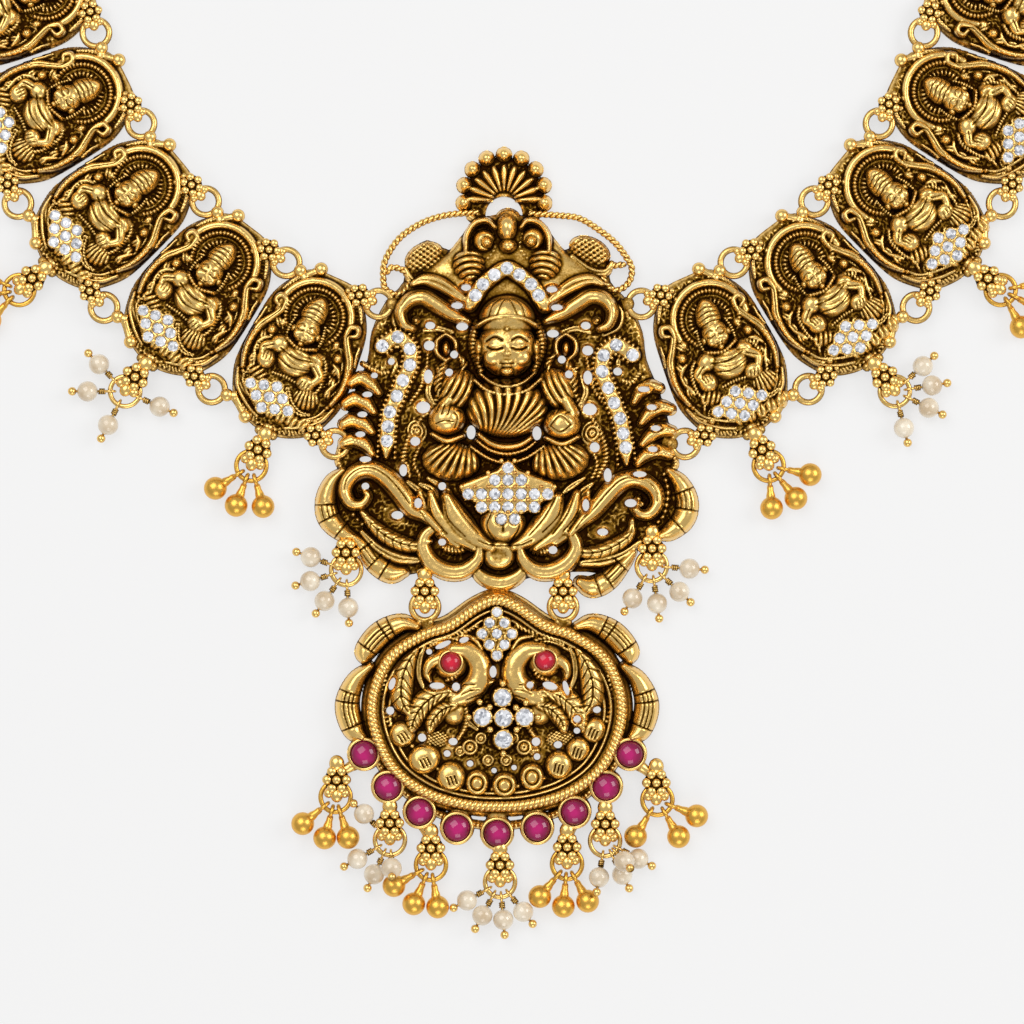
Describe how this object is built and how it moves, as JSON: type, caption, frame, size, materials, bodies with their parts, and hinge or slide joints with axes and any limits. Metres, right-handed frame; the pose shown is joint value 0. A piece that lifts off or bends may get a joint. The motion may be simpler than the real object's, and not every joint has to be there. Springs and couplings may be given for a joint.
{
  "type": "temple jewellery necklace",
  "caption": "Necklace of cast relief plaques with seated figures, a pierced centre pendant, a lower pendant with birds, drops of gold balls and pearls, and a link chain round the back.",
  "frame": {"origin": "middle of the neck opening, on the surface that the necklace lies on", "axes": "+X to the viewer's right, +Y from the pendants to the clasp at the back of the neck, +Z out of the surface towards the viewer"},
  "size_m": [0.2019, 0.2268, 0.0073],
  "materials": {
    "gold": "antique gold plating, dark in the recesses and bright on the raised work",
    "clear_stone": "clear brilliant-cut stones",
    "red_stone": "polished domed pinkish-red stones",
    "pearl": "lustrous off-white pearls"
  },
  "bodies": {
    "root": {"centre_pendant": "gold", "lower_pendant": "gold", "plaque_left_1": "gold", "plaque_left_2": "gold", "plaque_left_3": "gold", "plaque_left_4": "gold", "plaque_left_5": "gold", "plaque_right_1": "gold", "plaque_right_2": "gold", "plaque_right_3": "gold", "plaque_right_4": "gold", "plaque_right_5": "gold", "stones_crown": "clear_stone", "stones_swag_left": "clear_stone", "stones_swag_right": "clear_stone", "stones_lap": "clear_stone", "stones_lozenge": "clear_stone", "stones_cross": "clear_stone", "ruby_1": "red_stone", "ruby_2": "red_stone", "ruby_3": "red_stone", "ruby_4": "red_stone", "ruby_5": "red_stone", "ruby_6": "red_stone", "ruby_7": "red_stone", "ruby_8": "red_stone", "ruby_9": "red_stone", "ruby_eyes": "red_stone", "drops_left_1": "gold", "drops_left_3": "gold", "drops_left_5": "gold", "drops_right_1": "gold", "drops_right_3": "gold", "drops_right_5": "gold", "drops_low_1": "gold", "drops_low_3": "gold", "drops_low_5": "gold", "drops_low_7": "gold", "pins_left_2": "gold", "pins_left_4": "gold", "pins_right_2": "gold", "pins_right_4": "gold", "pins_centre_left": "gold", "pins_centre_right": "gold", "pins_low_2": "gold", "pins_low_4": "gold", "pins_low_6": "gold", "pearls_left_2": "pearl", "pearls_left_4": "pearl", "pearls_right_2": "pearl", "pearls_right_4": "pearl", "pearls_centre_left": "pearl", "pearls_centre_right": "pearl", "pearls_low_2": "pearl", "pearls_low_4": "pearl", "pearls_low_6": "pearl", "chain_left": "gold", "chain_right": "gold", "clasp": "gold"}
  },
  "joints": []
}
